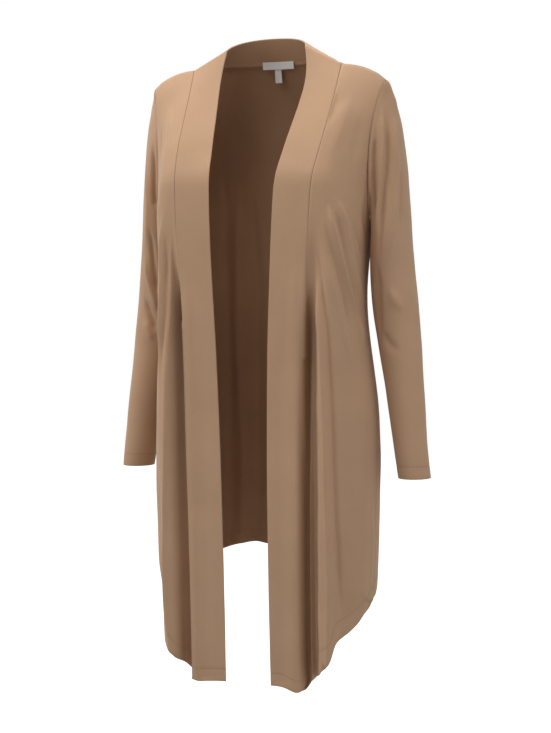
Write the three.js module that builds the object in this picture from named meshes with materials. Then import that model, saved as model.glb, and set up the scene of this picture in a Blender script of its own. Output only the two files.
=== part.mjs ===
// A long open-front jersey cardigan, hollow as if worn, in millimetres with +Z up.
// +X is the wearer's left and -Y the front. Z is 0 where the shoulder seams meet the front bands.
// Every piece is a wall of cloth: a grid of outer points, the same grid moved inwards, and rims between.
import * as THREE from "three";

const { clamp, lerp, smoothstep } = THREE.MathUtils;

// Cloth and seams
const clothThickness = 1.6;
const bandThickness = 2.4;
const labelThickness = 0.9;
const seamGap = 0.34;
const sameSeam = 0.05;
const longestMiter = 1.8;

// Grid counts: rows run up a panel or down a sleeve, columns run across it
const bodyRows = 18;
const chestRows = 10;
const frontColumns = 18;
const shoulderColumns = 5;
const necklineColumns = 8;
const bandColumns = 2;
const capRings = 6;
const armRings = 12;
const edgeCrowding = 1.6;

// Levels
const underarmZ = -238;
const sideHemZ = -815;
const backHemZ = -765;

const jersey = { roughness: 0.85, metalness: 0 };
const materials = {
  fronts: new THREE.MeshStandardMaterial({ color: 0xb28c68, ...jersey }),
  back: new THREE.MeshStandardMaterial({ color: 0xaa8561, ...jersey }),
  bands: new THREE.MeshStandardMaterial({ color: 0xb8926d, ...jersey }),
  sleeves: new THREE.MeshStandardMaterial({ color: 0xae8864, ...jersey }),
  labels: new THREE.MeshStandardMaterial({ color: 0xe8e4dc, roughness: 0.6, metalness: 0 }),
};

// The front band from the shoulder down: its seam to the front and its free edge, mean of both sides
const bandLevels = [
  { seamX: 126, seamY: -8, seamZ: 0, edgeX: 66, edgeY: -10, edgeZ: 30 },
  { seamX: 124.5, seamY: -23, seamZ: -22, edgeX: 71.5, edgeY: -20, edgeZ: 0 },
  { seamX: 123.5, seamY: -37, seamZ: -45, edgeX: 72, edgeY: -31, edgeZ: -28 },
  { seamX: 121, seamY: -62, seamZ: -90, edgeX: 66, edgeY: -55, edgeZ: -77 },
  { seamX: 117, seamY: -86, seamZ: -138, edgeX: 59, edgeY: -79, edgeZ: -126 },
  { seamX: 111.5, seamY: -99, seamZ: -190, edgeX: 52.5, edgeY: -100, edgeZ: -182 },
  { seamX: 109, seamY: -101, seamZ: -246, edgeX: 50, edgeY: -104, edgeZ: -241 },
  { seamX: 104.5, seamY: -98, seamZ: -333, edgeX: 46.5, edgeY: -101, edgeZ: -331 },
  { seamX: 100, seamY: -95, seamZ: -440, edgeX: 42, edgeY: -97, edgeZ: -440 },
  { seamX: 98.5, seamY: -92, seamZ: -600, edgeX: 38.5, edgeY: -93, edgeZ: -600 },
  { seamX: 97, seamY: -88, seamZ: -800, edgeX: 37, edgeY: -89, edgeZ: -800 },
  { seamX: 97, seamY: -85, seamZ: -965, edgeX: 37.5, edgeY: -85, edgeZ: -965 },
];

// How far the bands of the two sides drift from that mean: to the wearer's left, and back
const bandDrift = [
  { z: 40, x: -3, y: 0 },
  { z: -45, x: 3.5, y: 1 },
  { z: -200, x: -1.5, y: 5 },
  { z: -450, x: -3, y: 3 },
  { z: -1000, x: 3, y: 1 },
];

// The side seam from the underarm to the hem
const sideSeam = [
  { z: -238, x: 171, y: 4 },
  { z: -265, x: 166.5, y: 5 },
  { z: -300, x: 163, y: 6 },
  { z: -370, x: 160.5, y: 6 },
  { z: -460, x: 172, y: 5 },
  { z: -520, x: 180, y: 4 },
  { z: -600, x: 184, y: 2 },
  { z: -700, x: 182, y: 0 },
  { z: -815, x: 178, y: -2 },
  { z: -960, x: 170, y: -4 },
];

// The armhole from the underarm (rise 0) to the shoulder tip (rise 1)
const armhole = [
  { rise: 0, x: 171, frontY: 4, frontZ: -238, backY: 4, backZ: -238 },
  { rise: 0.12, x: 172.5, frontY: -12, frontZ: -226, backY: 22, backZ: -226 },
  { rise: 0.3, x: 175.5, frontY: -23, frontZ: -190, backY: 38, backZ: -190 },
  { rise: 0.5, x: 178.5, frontY: -29.5, frontZ: -143, backY: 46, backZ: -142 },
  { rise: 0.7, x: 183, frontY: -27, frontZ: -97, backY: 44, backZ: -92 },
  { rise: 0.88, x: 190.5, frontY: -16, frontZ: -52, backY: 30, backZ: -43 },
  { rise: 0.95, x: 195, frontY: -10, frontZ: -37, backY: 16, backZ: -28 },
  { rise: 1, x: 198, frontY: -2, frontZ: -26, backY: -2, backZ: -26 },
];

// Where the front's sections turn from the side to the front, how square the turn is, and how far
// the turn is lifted above the section's two ends
const frontTurn = [
  { z: 0, x: 172, y: -6, square: 0.55, lift: 13 },
  { z: -45, x: 165, y: -34, square: 0.5, lift: 6 },
  { z: -104, x: 163, y: -68, square: 0.52, lift: 1 },
  { z: -158, x: 166, y: -89, square: 0.56, lift: 0 },
  { z: -197, x: 168, y: -98, square: 0.6, lift: 0 },
  { z: -238, x: 169, y: -100, square: 0.64, lift: 0 },
  { z: -370, x: 166, y: -99, square: 0.74, lift: 0 },
  { z: -450, x: 171, y: -97, square: 0.74, lift: 0 },
  { z: -600, x: 177, y: -95, square: 0.74, lift: 0 },
  { z: -800, x: 172, y: -92, square: 0.72, lift: 0 },
  { z: -960, x: 168, y: -90, square: 0.72, lift: 0 },
];

// The same for the back below the underarm, with the depth of its centre line
const backTurn = [
  { z: -238, x: 173, y: 98, centreY: 99, square: 0.64 },
  { z: -300, x: 170, y: 92, centreY: 94, square: 0.66 },
  { z: -400, x: 169, y: 84, centreY: 85, square: 0.62 },
  { z: -500, x: 184, y: 92, centreY: 92, square: 0.62 },
  { z: -600, x: 194, y: 100, centreY: 100, square: 0.62 },
  { z: -815, x: 190, y: 102, centreY: 103, square: 0.62 },
];

// The back above the underarm, from there (rise 0) to the shoulders and neckline (rise 1)
const backYoke = [
  { rise: 0, x: 173, y: 98, z: -238, centreY: 99, centreZ: -238, square: 0.64 },
  { rise: 0.3, x: 176, y: 99, z: -165, centreY: 102, centreZ: -155, square: 0.58 },
  { rise: 0.55, x: 173, y: 90, z: -84, centreY: 95, centreZ: -80, square: 0.56 },
  { rise: 0.75, x: 170, y: 70, z: -26, centreY: 82, centreZ: -34, square: 0.58 },
  { rise: 0.9, x: 170, y: 44, z: 20, centreY: 66, centreZ: -5, square: 0.58 },
  { rise: 1, x: 140, y: 22, z: 8, centreY: 56, centreZ: 11, square: 0.5 },
];
const yokePullFrom = 0.45;
const neckShare = shoulderColumns / (shoulderColumns + necklineColumns);

// The back hem falls from the sides to its level middle over this share of half its width
const hemTurnShare = 0.9;

// The neckline round the back of the neck, and the free edge of the neck band above it
const neckline = {
  turnX: 114,
  turnY: 54,
  turnZ: 22,
  besideX: 57,
  centreY: 56,
  centreZ: 10,
  square: 0.56,
};
const collarEdge = {
  turnX: 61,
  turnY: 31,
  turnZ: 53,
  besideX: 30.5,
  centreY: 31,
  centreZ: 49.5,
  square: 0.64,
};

// The sleeve below its cap: the middle of each ring and its half width and half depth
const sleeveRings = [
  { z: -264, x: 198, y: 26, halfWidth: 29.5, halfDepth: 50 },
  { z: -303, x: 198.5, y: 27, halfWidth: 34, halfDepth: 45 },
  { z: -370, x: 204, y: 27, halfWidth: 36.5, halfDepth: 40 },
  { z: -440, x: 213, y: 25, halfWidth: 33.5, halfDepth: 37 },
  { z: -520, x: 224.5, y: 20, halfWidth: 29.5, halfDepth: 33 },
  { z: -590, x: 233.5, y: 17, halfWidth: 26.5, halfDepth: 31 },
  { z: -640, x: 240, y: 18, halfWidth: 25.5, halfDepth: 30 },
];
// How the cap leaves the armhole: out, across and down as shares of the way to the first ring,
// and how far it keeps clear of the body near the underarm
const cap = {
  reachOut: 0.8,
  reachAcross: 0.65,
  reachDown: 0,
  square: 0.62,
  clearance: 4,
  clearFrom: 0.3,
};

// The deep tuck beside each band, as a share of the front's width, and its depth down the front
const tuckShare = 0.17;
const tuckSkew = 0.82;
const tuckDepth = [
  { z: -205, depth: 0 },
  { z: -260, depth: 3 },
  { z: -330, depth: 10 },
  { z: -450, depth: 19 },
  { z: -650, depth: 25 },
  { z: -965, depth: 26 },
];

// The two fronts: hem level from the band (share 0) to the side (share 1), and the large soft folds
const sides = {
  left: {
    sign: 1,
    edgeHemZ: -964,
    hem: [
      { share: 0, z: -974 },
      { share: 0.12, z: -953 },
      { share: 0.25, z: -931 },
      { share: 0.45, z: -894 },
      { share: 0.7, z: -857 },
      { share: 0.88, z: -836 },
      { share: 1, z: sideHemZ },
    ],
    folds: [
      { fromZ: -270, toZ: -1100, fromShare: 0.27, toShare: 0.26, width: 0.1, height: 6 },
      { fromZ: -500, toZ: -1100, fromShare: 0.46, toShare: 0.44, width: 0.09, height: -4 },
      { fromZ: -150, toZ: -430, fromShare: 0.2, toShare: 0.7, width: 0.11, height: 3.5 },
      { fromZ: -420, toZ: -1100, fromShare: 0.76, toShare: 0.7, width: 0.11, height: 4 },
    ],
  },
  right: {
    sign: -1,
    edgeHemZ: -963,
    hem: [
      { share: 0, z: -964 },
      { share: 0.12, z: -951 },
      { share: 0.25, z: -942 },
      { share: 0.45, z: -906 },
      { share: 0.7, z: -860 },
      { share: 0.88, z: -836 },
      { share: 1, z: sideHemZ },
    ],
    folds: [
      { fromZ: -250, toZ: -1100, fromShare: 0.25, toShare: 0.28, width: 0.11, height: 7 },
      { fromZ: -540, toZ: -1100, fromShare: 0.52, toShare: 0.54, width: 0.1, height: -5 },
      { fromZ: -150, toZ: -400, fromShare: 0.22, toShare: 0.66, width: 0.11, height: 3 },
      { fromZ: -460, toZ: -1100, fromShare: 0.82, toShare: 0.76, width: 0.1, height: 4 },
    ],
  },
};
const backFolds = [
  { fromZ: -380, toZ: -1100, fromShare: 0.21, toShare: 0.18, width: 0.055, height: 6 },
  { fromZ: -470, toZ: -1100, fromShare: 0.33, toShare: 0.32, width: 0.05, height: -4 },
  { fromZ: -420, toZ: -1100, fromShare: 0.45, toShare: 0.44, width: 0.055, height: 5 },
  { fromZ: -520, toZ: -1100, fromShare: 0.61, toShare: 0.63, width: 0.055, height: -4 },
  { fromZ: -400, toZ: -1100, fromShare: 0.79, toShare: 0.82, width: 0.06, height: 6 },
];

// The folds grow over this height, and flatten over these shares of a panel's width at its seams
const foldFade = 120;
const bandSeamFade = 0.05;
const sideSeamFade = 0.1;
const backSeamFade = 0.2;

// The name label and the size tab inside the back neck, both bare
const touchGap = 0.3;
const label = {
  name: "neck_label",
  width: 56,
  height: 12,
  drop: 0,
  setBack: 0,
  offCentre: -3,
  rows: 1,
  columns: 8,
  bandShare: 0.1,
  throughBand: 3.3,
  lean: 2.2,
};
const tab = {
  name: "size_tab",
  width: 12,
  height: 24,
  drop: label.height - 3,
  setBack: labelThickness + touchGap,
  offCentre: -5,
  rows: 3,
  columns: 2,
};

// A column of a table at any place between its rows, on a smooth curve through them.
function valueAt(rows, by, place, column) {
  const last = rows.length - 1;
  const direction = Math.sign(rows[last][by] - rows[0][by]);
  let i = 0;
  while (i < last - 1 && (place - rows[i + 1][by]) * direction > 0) {
    i += 1;
  }
  const slopeAt = (k) => {
    const before = rows[Math.max(k - 1, 0)];
    const after = rows[Math.min(k + 1, last)];
    return (after[column] - before[column]) / (after[by] - before[by]);
  };
  const span = rows[i + 1][by] - rows[i][by];
  const t = clamp((place - rows[i][by]) / span, 0, 1);
  const startPull = t * (1 - t) * (1 - t) * slopeAt(i) * span;
  const endPull = t * t * (t - 1) * slopeAt(i + 1) * span;
  const ease = t * t * (3 - 2 * t);
  return lerp(rows[i][column], rows[i + 1][column], ease) + startPull + endPull;
}

// A curve that leaves one point towards a corner and reaches another point from it.
function cornerCurve(from, corner, to, square) {
  const leaving = from.clone().lerp(corner, square);
  const arriving = to.clone().lerp(corner, square);
  return new THREE.CubicBezierCurve3(from, leaving, arriving, to);
}

function driftAt(z, sign) {
  const x = valueAt(bandDrift, "z", z, "x");
  const y = valueAt(bandDrift, "z", z, "y") * sign;
  return new THREE.Vector3(x, y, 0);
}

// A point of a front band's line, "seam" or "edge", at the level of its seam.
function bandPoint(line, level, side) {
  const [x, y, z] = ["X", "Y", "Z"].map((axis) => valueAt(bandLevels, "seamZ", level, line + axis));
  const drop = Math.min(level - bandLevels.at(-1).seamZ, 0);
  return new THREE.Vector3(side.sign * x, y, z + drop).add(driftAt(level, side.sign));
}

function armholePoint(face, rise, sign) {
  const x = valueAt(armhole, "rise", rise, "x");
  const y = valueAt(armhole, "rise", rise, `${face}Y`);
  const z = valueAt(armhole, "rise", rise, `${face}Z`);
  return new THREE.Vector3(sign * x, y, z);
}

function sidePoint(z, sign) {
  return new THREE.Vector3(sign * valueAt(sideSeam, "z", z, "x"), valueAt(sideSeam, "z", z, "y"), z);
}

// The height of the large soft folds at a share of a panel's width and a level.
function foldHeight(folds, share, z) {
  return folds.reduce((height, fold) => {
    const down = clamp((z - fold.fromZ) / (fold.toZ - fold.fromZ), 0, 1);
    const middle = lerp(fold.fromShare, fold.toShare, down);
    const away = (share - middle) / fold.width;
    const below = smoothstep(fold.fromZ - z, -foldFade / 2, foldFade);
    const above = smoothstep(z - fold.toZ, -foldFade / 2, foldFade);
    return height + fold.height * Math.exp(-away * away) * below * above;
  }, 0);
}

function tuckAt(share, z) {
  if (share >= tuckShare || z > tuckDepth[0].z) {
    return 0;
  }
  return -valueAt(tuckDepth, "z", z, "depth") * Math.sin(Math.PI * (share / tuckShare) ** tuckSkew);
}

// Moves a point of a level section outwards, square to the section.
function raised(curve, share, height) {
  const tangent = curve.getTangentAt(clamp(share, 0.001, 0.999));
  const outward = new THREE.Vector3(tangent.y, -tangent.x, 0).normalize();
  const point = curve.getPointAt(share);
  const facing = Math.sign(outward.x * point.x + outward.y * point.y);
  return point.addScaledVector(outward, height * facing);
}

// A front from its band (share 0) to its side seam and armhole (share 1).
function frontPoint(side, row, share) {
  const rise = Math.max(row - bodyRows, 0) / chestRows;
  const down = Math.min(row / bodyRows, 1);
  const hemZ = valueAt(side.hem, "share", share, "z");
  const level = rise > 0 ? lerp(underarmZ, 0, rise) : lerp(hemZ, underarmZ, down);
  const seam = bandPoint("seam", level, side);
  const end = rise > 0 ? armholePoint("front", rise, side.sign) : sidePoint(level, side.sign);
  const corner = new THREE.Vector3(
    side.sign * valueAt(frontTurn, "z", level, "x"),
    valueAt(frontTurn, "z", level, "y") + valueAt(bandDrift, "z", level, "y") * side.sign,
    (seam.z + end.z) / 2 + valueAt(frontTurn, "z", level, "lift"),
  );
  const curve = cornerCurve(seam, corner, end, valueAt(frontTurn, "z", level, "square"));
  const clearOfSeams = smoothstep(share, 0, bandSeamFade) * smoothstep(1 - share, 0, sideSeamFade);
  const height = foldHeight(side.folds, share, level) * clearOfSeams + tuckAt(share, level);
  return raised(curve, share, height);
}

// The top edge of half the back: along the shoulder seam, then round the neckline to the centre.
function backTop(share, sign) {
  const side = sign > 0 ? sides.left : sides.right;
  if (share <= neckShare) {
    return shoulderPoint(side, 1 - share / neckShare);
  }
  return necklinePoint(side, (share - neckShare) / (1 - neckShare));
}

// The shoulder seam from the band (share 0) to the tip (share 1).
function shoulderPoint(side, share) {
  return frontPoint(side, bodyRows + chestRows, share);
}

function necklinePoint(side, share) {
  const from = bandPoint("seam", 0, side);
  return neckCurve(neckline, from, side.sign).getPointAt(share);
}

function collarPoint(side, share) {
  const from = bandPoint("edge", 0, side);
  return neckCurve(collarEdge, from, side.sign).getPointAt(share);
}

// Half of a line round the back of the neck, from the shoulder to the centre.
function neckCurve(line, from, sign) {
  const corner = new THREE.Vector3(sign * line.turnX, line.turnY, line.turnZ);
  const centre = new THREE.Vector3(0, line.centreY, line.centreZ);
  const beside = new THREE.Vector3(sign * line.besideX, line.centreY, line.centreZ);
  const leaving = from.clone().lerp(corner, line.square);
  return new THREE.CubicBezierCurve3(from, leaving, beside, centre);
}

// The back from the wearer's left side (share 0) to the right side (share 1).
function backPoint(row, share) {
  const sign = share <= 0.5 ? 1 : -1;
  const half = 1 - Math.abs(1 - 2 * share);
  if (row <= bodyRows) {
    const hemZ = lerp(sideHemZ, backHemZ, smoothstep(half, 0, hemTurnShare));
    const level = lerp(hemZ, underarmZ, row / bodyRows);
    const [x, y, centreY, square] = ["x", "y", "centreY", "square"].map((column) =>
      valueAt(backTurn, "z", level, column),
    );
    const corner = new THREE.Vector3(sign * x, y, level);
    const centre = new THREE.Vector3(0, centreY, level);
    const curve = cornerCurve(sidePoint(level, sign), corner, centre, square);
    const height = foldHeight(backFolds, share, level) * smoothstep(half, 0, backSeamFade);
    return raised(curve, half, height);
  }
  const rise = (row - bodyRows) / chestRows;
  const pull = smoothstep(rise, yokePullFrom, 1);
  const top = yokePoint(1, half, sign);
  return yokePoint(rise, half, sign).addScaledVector(backTop(half, sign).sub(top), pull);
}

function yokePoint(rise, half, sign) {
  const [x, y, z, centreY, centreZ, square] = ["x", "y", "z", "centreY", "centreZ", "square"].map(
    (column) => valueAt(backYoke, "rise", rise, column),
  );
  const corner = new THREE.Vector3(sign * x, y, z);
  const centre = new THREE.Vector3(0, centreY, centreZ);
  return cornerCurve(armholePoint("back", rise, sign), corner, centre, square).getPointAt(half);
}

// A sleeve's grid: row 0 is the armhole and the last row the cuff; columns go round from the underarm.
function sleevePoint(side, row, column) {
  const around = 2 * chestRows;
  const turn = (column % around) / around;
  const face = turn <= 0.5 ? "front" : "back";
  const start = armholePoint(face, 1 - Math.abs(1 - 2 * turn), side.sign);
  if (row === 0) {
    return start;
  }
  const { z: capZ } = sleeveRings[0];
  const cuffZ = sleeveRings.at(-1).z;
  const level = row <= capRings ? capZ : lerp(capZ, cuffZ, (row - capRings) / armRings);
  const end = sleeveRingPoint(side, level, turn);
  if (row > capRings) {
    return end;
  }
  const across = end.clone().sub(start);
  const corner = start.clone();
  const atUnderarm = smoothstep(Math.abs(0.5 - turn), cap.clearFrom, 0.5);
  corner.x += cap.reachOut * across.x + side.sign * cap.clearance * atUnderarm;
  corner.y += cap.reachAcross * across.y;
  corner.z += cap.reachDown * across.z;
  return cornerCurve(start, corner, end, cap.square).getPointAt(row / capRings);
}

function sleeveRingPoint(side, level, turn) {
  const [x, y, halfWidth, halfDepth] = ["x", "y", "halfWidth", "halfDepth"].map((column) =>
    valueAt(sleeveRings, "z", level, column),
  );
  const angle = 2 * Math.PI * turn;
  return new THREE.Vector3(
    side.sign * (x - halfWidth * Math.cos(angle)),
    y - halfDepth * Math.sin(angle),
    level,
  );
}

function gridOf(rows, columns, pointAt) {
  return Array.from({ length: rows + 1 }, (_, row) =>
    Array.from({ length: columns + 1 }, (_, column) => pointAt(row, column)),
  );
}

const panels = [];

// Adds a panel. A ring's last column is its first one again. A free panel shares no seam.
function addPanel(name, material, thickness, points, { ring = false, free = false, onShoulder } = {}) {
  const columns = ring ? points[0].length - 1 : points[0].length;
  const grid = points.map((row) => row.slice(0, columns));
  const normals = gridNormals(grid, ring);
  panels.push({ name, material, thickness, points: grid, normals, ring, free, onShoulder });
}

function neighbour(grid, ring, row, column) {
  const columns = grid[0].length;
  const inRow = clamp(row, 0, grid.length - 1);
  const inColumn = ring ? (column + columns) % columns : clamp(column, 0, columns - 1);
  return grid[inRow][inColumn];
}

function gridNormals(grid, ring) {
  return grid.map((points, row) =>
    points.map((_, column) => {
      const at = (i, j) => neighbour(grid, ring, row + i, column + j);
      const across = at(0, 1).clone().sub(at(0, -1));
      const along = at(1, 0).clone().sub(at(-1, 0));
      return across.cross(along).normalize();
    }),
  );
}

const straightUp = new THREE.Vector3(0, 0, 1);
const seams = [];

// The seam that runs through a panel's edge point, with the sum of its panels' normals there.
function seamAt(point) {
  const known = seams.find((seam) => seam.place.distanceTo(point) < sameSeam);
  if (known) {
    return known;
  }
  seams.push({ place: point, normal: new THREE.Vector3() });
  return seams.at(-1);
}

const onEdge = ({ points, ring, free }, row, column) => {
  const atEnd = row === 0 || row === points.length - 1;
  const atSide = !ring && (column === 0 || column === points[0].length - 1);
  return !free && (atEnd || atSide);
};

// Panels that meet at a seam share one normal there, so that their walls are mitred to each other.
// Along the shoulder seams, where the panels' columns differ, that normal is straight up.
function joinSeams() {
  const eachEdgePoint = (panel, visit) =>
    panel.points.forEach((row, i) =>
      row.forEach((point, j) => {
        if (onEdge(panel, i, j)) {
          visit(seamAt(point), i, j);
        }
      }),
    );
  for (const panel of panels) {
    eachEdgePoint(panel, (seam, i, j) => seam.normal.add(panel.normals[i][j]));
  }
  for (const panel of panels.filter(({ onShoulder }) => onShoulder)) {
    eachEdgePoint(panel, (seam, i, j) => {
      if (i === panel.points.length - 1 && panel.onShoulder(j)) {
        seam.normal.copy(straightUp);
      }
    });
  }
}

// A wall's outer and inner grids, drawn back from each seam by half its gap.
function wallGrids(panel) {
  const { points, normals, thickness, ring } = panel;
  const lastRow = points.length - 1;
  const lastColumn = points[0].length - 1;
  const outer = points.map((row) => row.map((point) => point.clone()));
  const inner = points.map((row, i) =>
    row.map((point, j) => {
      const edge = onEdge(panel, i, j);
      const outward = edge ? seamAt(point).normal.clone().normalize() : normals[i][j];
      const towards = (di, dj) => neighbour(points, ring, i + di, j + dj).clone().sub(point).normalize();
      if (edge && (i === 0 || i === lastRow)) {
        outer[i][j].addScaledVector(towards(i === 0 ? 1 : -1, 0), seamGap / 2);
      }
      if (edge && !ring && (j === 0 || j === lastColumn)) {
        outer[i][j].addScaledVector(towards(0, j === 0 ? 1 : -1), seamGap / 2);
      }
      const miter = Math.min(1 / Math.max(outward.dot(normals[i][j]), 0.01), longestMiter);
      return outer[i][j].clone().addScaledVector(outward, -thickness * miter);
    }),
  );
  return { outer, inner };
}

function wallGeometry({ outer, inner }, ring) {
  const rows = outer.length;
  const columns = outer[0].length;
  // Each quad is split along its shorter diagonal, so that the rims of two pieces at a seam agree.
  const outside = (i, j) => i * columns + (j % columns);
  const inside = (i, j) => rows * columns + outside(i, j);
  const index = [];
  const corners = [...outer.flat(), ...inner.flat()];
  const quad = (a, b, c, d) => {
    const acrossBD = corners[b].distanceTo(corners[d]) < corners[a].distanceTo(corners[c]);
    index.push(...(acrossBD ? [a, b, d, b, c, d] : [a, b, c, a, c, d]));
  };
  const spans = ring ? columns : columns - 1;
  for (let i = 0; i < rows - 1; i += 1) {
    for (let j = 0; j < spans; j += 1) {
      quad(outside(i, j), outside(i, j + 1), outside(i + 1, j + 1), outside(i + 1, j));
      quad(inside(i, j), inside(i + 1, j), inside(i + 1, j + 1), inside(i, j + 1));
    }
  }
  for (let j = 0; j < spans; j += 1) {
    const top = rows - 1;
    quad(outside(0, j), inside(0, j), inside(0, j + 1), outside(0, j + 1));
    quad(outside(top, j), outside(top, j + 1), inside(top, j + 1), inside(top, j));
  }
  if (!ring) {
    for (let i = 0; i < rows - 1; i += 1) {
      const end = columns - 1;
      quad(outside(i, 0), outside(i + 1, 0), inside(i + 1, 0), inside(i, 0));
      quad(outside(i, end), inside(i, end), inside(i + 1, end), outside(i + 1, end));
    }
  }
  const geometry = new THREE.BufferGeometry();
  const positions = corners.flatMap((corner) => corner.toArray());
  geometry.setAttribute("position", new THREE.Float32BufferAttribute(positions, 3));
  geometry.setIndex(index);
  geometry.computeVertexNormals();
  return geometry;
}

// Fronts and bands. A mirrored piece runs its columns the other way, so that it still faces out.
const columnShare = (column) => (column / frontColumns) ** edgeCrowding;
for (const [name, side] of Object.entries(sides)) {
  const frontGrid = gridOf(bodyRows + chestRows, frontColumns, (row, column) =>
    frontPoint(side, row, columnShare(side.sign > 0 ? column : frontColumns - column)),
  );
  addPanel(`${name}_front`, materials.fronts, clothThickness, frontGrid, { onShoulder: () => true });

  const bandGrid = gridOf(bodyRows + chestRows, bandColumns, (row, column) => {
    const rise = (row - bodyRows) / chestRows;
    const levelAbove = (hemZ) =>
      rise > 0 ? lerp(underarmZ, 0, rise) : lerp(hemZ, underarmZ, row / bodyRows);
    const seam = bandPoint("seam", levelAbove(side.hem[0].z), side);
    const edge = bandPoint("edge", levelAbove(side.edgeHemZ), side);
    return seam.lerp(edge, side.sign > 0 ? 1 - column / bandColumns : column / bandColumns);
  });
  addPanel(`${name}_band`, materials.bands, bandThickness, bandGrid);

  const sleeveGrid = gridOf(capRings + armRings, 2 * chestRows, (row, column) =>
    sleevePoint(side, capRings + armRings - row, side.sign > 0 ? column : 2 * chestRows - column),
  );
  addPanel(`${name}_sleeve`, materials.sleeves, clothThickness, sleeveGrid, { ring: true });
}

const backColumns = 2 * (shoulderColumns + necklineColumns);
const backGrid = gridOf(bodyRows + chestRows, backColumns, (row, column) =>
  backPoint(row, column / backColumns),
);
const onShoulder = (column) => Math.min(column, backColumns - column) <= shoulderColumns;
addPanel("back", materials.back, clothThickness, backGrid, { onShoulder });

// The band round the back of the neck, from the left shoulder to the right.
const neckBandPoint = (along, up) => {
  const side = along <= 0.5 ? sides.left : sides.right;
  const share = 1 - Math.abs(1 - 2 * along);
  return necklinePoint(side, share).lerp(collarPoint(side, share), up);
};
const neckBandGrid = gridOf(bandColumns, 2 * necklineColumns, (row, column) =>
  neckBandPoint(column / (2 * necklineColumns), row / bandColumns),
);
addPanel("neck_band", materials.bands, bandThickness, neckBandGrid);

// A small flat piece inside the back neck: x across from its middle, down from its top edge.
function neckPiecePoint(piece, x, down) {
  const neckLength = 2 * neckCurve(neckline, bandPoint("seam", 0, sides.left), 1).getLength();
  const point = neckBandPoint(0.5 - (x + piece.offCentre) / neckLength, label.bandShare);
  point.y -= label.throughBand + touchGap + labelThickness;
  point.z -= piece.drop + down * piece.height;
  point.y += piece.setBack + (label.lean * (piece.drop + down * piece.height)) / label.height;
  return point;
}

for (const piece of [label, tab]) {
  const points = gridOf(piece.rows, piece.columns, (row, column) =>
    neckPiecePoint(piece, (column / piece.columns - 0.5) * piece.width, 1 - row / piece.rows),
  );
  addPanel(piece.name, materials.labels, labelThickness, points, { free: true });
}

joinSeams();
const cardigan = new THREE.Group();
for (const panel of panels) {
  const mesh = new THREE.Mesh(wallGeometry(wallGrids(panel), panel.ring), panel.material);
  mesh.name = panel.name;
  cardigan.add(mesh);
}

export default cardigan;
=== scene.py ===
import math

import bmesh
import bpy
import numpy as np
from mathutils import Matrix, Vector, noise
from mathutils.bvhtree import BVHTree
from mathutils.kdtree import KDTree


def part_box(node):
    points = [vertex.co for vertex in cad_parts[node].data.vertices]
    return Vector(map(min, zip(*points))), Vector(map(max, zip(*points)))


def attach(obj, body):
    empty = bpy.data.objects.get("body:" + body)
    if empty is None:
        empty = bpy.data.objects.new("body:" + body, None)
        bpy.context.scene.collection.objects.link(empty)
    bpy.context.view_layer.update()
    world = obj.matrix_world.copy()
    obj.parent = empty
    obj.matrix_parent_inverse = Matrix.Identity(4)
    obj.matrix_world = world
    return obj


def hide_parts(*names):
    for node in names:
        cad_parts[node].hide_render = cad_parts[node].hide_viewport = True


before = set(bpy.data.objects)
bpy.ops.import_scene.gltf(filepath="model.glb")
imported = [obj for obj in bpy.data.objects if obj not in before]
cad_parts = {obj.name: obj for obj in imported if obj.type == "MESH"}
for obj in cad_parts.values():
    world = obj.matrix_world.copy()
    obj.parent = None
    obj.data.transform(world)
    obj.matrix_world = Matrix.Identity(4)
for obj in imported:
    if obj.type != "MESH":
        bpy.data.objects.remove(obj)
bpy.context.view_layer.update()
print("frame loaded")

mm = 0.001

# Shader maths


class Shade:
    # One output socket of a material. Sums on it add Math nodes.
    def __init__(self, tree, socket=None):
        self.tree = tree
        self.socket = socket

    def node(self, kind, settings=None, inputs=None, output=0):
        made = self.tree.nodes.new(kind)
        for name, value in (settings or {}).items():
            if name == "stops":
                setStops(made.color_ramp, value)
            else:
                setattr(made, name, value)
        for key, value in (inputs or {}).items():
            if isinstance(value, Shade):
                self.tree.links.new(value.socket, made.inputs[key])
            else:
                made.inputs[key].default_value = value
        return Shade(self.tree, made.outputs[output])

    def maths(self, operation, *values, clamp=False):
        settings = {"operation": operation, "use_clamp": clamp}
        return self.node("ShaderNodeMath", settings, dict(enumerate(values)))

    def __add__(self, other):
        return self.maths("ADD", self, other)

    def __sub__(self, other):
        return self.maths("SUBTRACT", self, other)

    def __mul__(self, other):
        return self.maths("MULTIPLY", self, other)

    def __truediv__(self, other):
        return self.maths("DIVIDE", self, other)

    def mix(self, share, first, second):
        inputs = {0: share, 6: first, 7: second}
        return self.node("ShaderNodeMix", {"data_type": "RGBA"}, inputs, 2)

    def kept(self, attribute):
        return self.node("ShaderNodeAttribute", {"attribute_name": attribute}, output=2)

    def grain(self, scale, detail=2.0):
        place = self.node("ShaderNodeTexCoord", output=3)
        inputs = {"Vector": place, "Scale": scale, "Detail": detail}
        return self.node("ShaderNodeTexNoise", {}, inputs)

    def cutPlace(self):
        # Across and along the cloth as it lies flat
        flat = self.node("ShaderNodeUVMap", {"uv_map": "cut"})
        return [self.node("ShaderNodeSeparateXYZ", {}, {0: flat}, axis) for axis in (0, 1)]


def setStops(ramp, stops):
    while len(ramp.elements) < len(stops):
        ramp.elements.new(1)
    for element, (place, colour) in zip(ramp.elements, stops):
        element.position = place
        element.color = colour


def newMaterial(name):
    material = bpy.data.materials.new(name)
    material.use_nodes = True
    material.node_tree.nodes.clear()
    return material, Shade(material.node_tree)


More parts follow.
